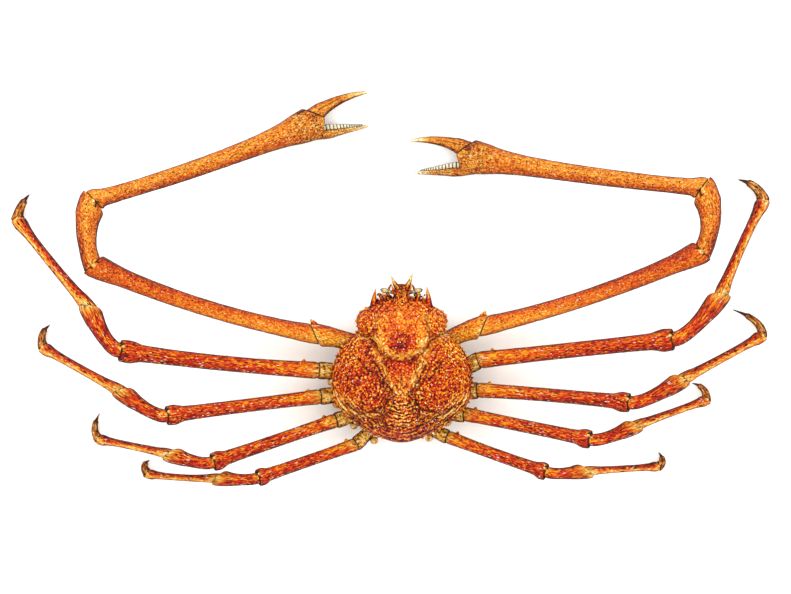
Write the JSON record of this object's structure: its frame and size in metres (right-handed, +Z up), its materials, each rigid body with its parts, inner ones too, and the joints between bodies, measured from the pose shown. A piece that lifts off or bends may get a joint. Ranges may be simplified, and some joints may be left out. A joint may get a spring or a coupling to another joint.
{
  "type": "japanese spider crab",
  "caption": "Life-size still model of a japanese spider crab, belly on the floor, slender legs spread and arched, long claws reaching forward.",
  "frame": {"origin": "on the floor under the belly, midway between the hind and front walking legs", "axes": "+Y towards the head and claws, +X towards the animal's right, +Z up from the floor"},
  "size_m": [1.6233, 0.8421, 0.1827],
  "materials": {
    "carapace_shell": "deep red limy shell crowded with warts, orange over the stomach region",
    "limb_shell": "red shell with rows of yellow and cream spots, finely beaded",
    "claw_shell": "orange shell paling to yellow, finely beaded, cream at the finger tips",
    "joint_shell": "cream to yellow shell and joint skin at the hips",
    "underside_shell": "pale cream underside plates",
    "toe_shell": "orange brown toe ending in a black horny hook",
    "eye": "pale stalk with a dark glossy cornea",
    "feeler": "brown and cream banded feeler"
  },
  "bodies": {
    "root": {"carapace": "carapace_shell", "thorax": "underside_shell", "abdomen": "underside_shell", "maxilliped_left": "underside_shell", "eye_left": "eye", "antenna_left": "feeler", "maxilliped_right": "underside_shell", "eye_right": "eye", "antenna_right": "feeler", "cheliped_left_coxa": "joint_shell", "cheliped_left_merus": "claw_shell", "cheliped_left_carpus": "claw_shell", "cheliped_left_propodus": "claw_shell", "cheliped_left_dactyl": "claw_shell", "leg_1_left_coxa": "joint_shell", "leg_1_left_merus": "limb_shell", "leg_1_left_carpus": "limb_shell", "leg_1_left_propodus": "limb_shell", "leg_1_left_dactyl": "toe_shell", "leg_2_left_coxa": "joint_shell", "leg_2_left_merus": "limb_shell", "leg_2_left_carpus": "limb_shell", "leg_2_left_propodus": "limb_shell", "leg_2_left_dactyl": "toe_shell", "leg_3_left_coxa": "joint_shell", "leg_3_left_merus": "limb_shell", "leg_3_left_carpus": "limb_shell", "leg_3_left_propodus": "limb_shell", "leg_3_left_dactyl": "toe_shell", "leg_4_left_coxa": "joint_shell", "leg_4_left_merus": "limb_shell", "leg_4_left_carpus": "limb_shell", "leg_4_left_propodus": "limb_shell", "leg_4_left_dactyl": "toe_shell", "cheliped_right_coxa": "joint_shell", "cheliped_right_merus": "claw_shell", "cheliped_right_carpus": "claw_shell", "cheliped_right_propodus": "claw_shell", "cheliped_right_dactyl": "claw_shell", "leg_1_right_coxa": "joint_shell", "leg_1_right_merus": "limb_shell", "leg_1_right_carpus": "limb_shell", "leg_1_right_propodus": "limb_shell", "leg_1_right_dactyl": "toe_shell", "leg_2_right_coxa": "joint_shell", "leg_2_right_merus": "limb_shell", "leg_2_right_carpus": "limb_shell", "leg_2_right_propodus": "limb_shell", "leg_2_right_dactyl": "toe_shell", "leg_3_right_coxa": "joint_shell", "leg_3_right_merus": "limb_shell", "leg_3_right_carpus": "limb_shell", "leg_3_right_propodus": "limb_shell", "leg_3_right_dactyl": "toe_shell", "leg_4_right_coxa": "joint_shell", "leg_4_right_merus": "limb_shell", "leg_4_right_carpus": "limb_shell", "leg_4_right_propodus": "limb_shell", "leg_4_right_dactyl": "toe_shell"}
  },
  "joints": []
}
